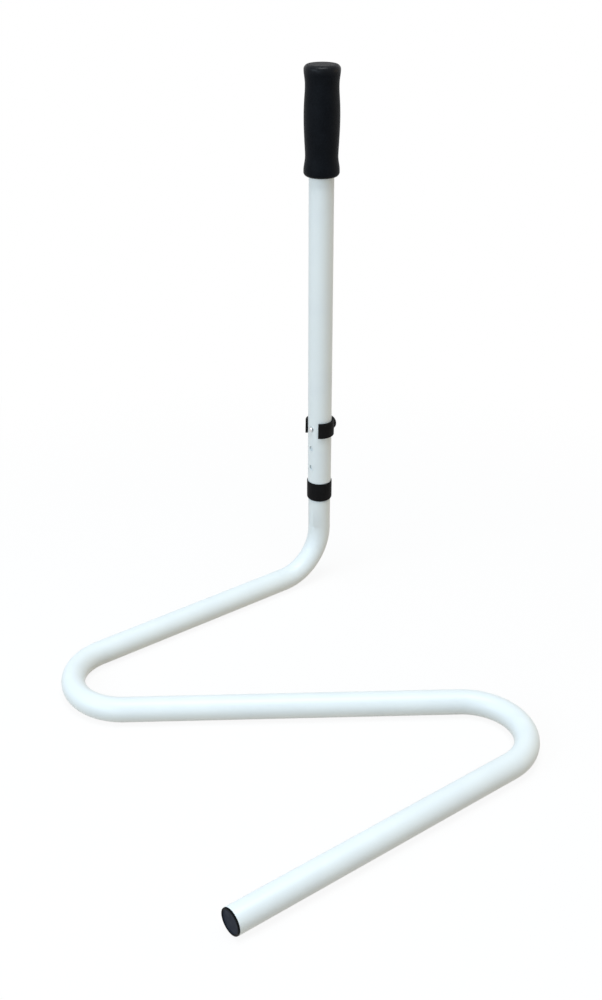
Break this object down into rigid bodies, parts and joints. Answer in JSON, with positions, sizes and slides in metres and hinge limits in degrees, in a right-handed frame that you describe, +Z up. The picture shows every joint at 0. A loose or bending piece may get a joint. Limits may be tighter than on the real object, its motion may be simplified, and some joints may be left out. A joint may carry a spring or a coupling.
{
  "type": "bed pole",
  "caption": "Transfer aid with a flat zigzag tube base that lies under a mattress and an upright height-adjustable pole with a foam grip.",
  "frame": {"origin": "middle of the footprint, on the surface that the base lies on", "axes": "+Z up along the pole, +Y towards the end of the base that carries the pole, +X along the middle leg of the base"},
  "size_m": [0.4744, 0.6012, 0.5883],
  "materials": {
    "base_coat": "white powder coat",
    "plug_plastic": "dark slate moulded plastic",
    "pole_coat": "white powder coat",
    "pole_plug_plastic": "black moulded plastic",
    "collar_plastic": "black moulded plastic",
    "grip_foam": "black closed-cell foam",
    "clip_plastic": "black moulded plastic",
    "pin_steel": "plated steel"
  },
  "bodies": {
    "base": {"base_frame": "base_coat", "base_end_plug": "plug_plastic"},
    "pole": {"upper_tube": "pole_coat", "upper_tube_plug": "pole_plug_plastic", "tube_collar": "collar_plastic", "hand_grip": "grip_foam"},
    "lock": {"lock_clip": "clip_plastic", "lock_pin": "pin_steel"}
  },
  "joints": [
    {"name": "height_slide", "type": "slide", "parent": "base", "child": "pole", "axis": [0, 0, 1], "range_m": [0, 0.048]},
    {"name": "clip_pull", "type": "slide", "parent": "pole", "child": "lock", "axis": [0.7443, 0.6678, 0], "range_m": [0, 0.04], "deforming": ["lock_clip"]}
  ]
}
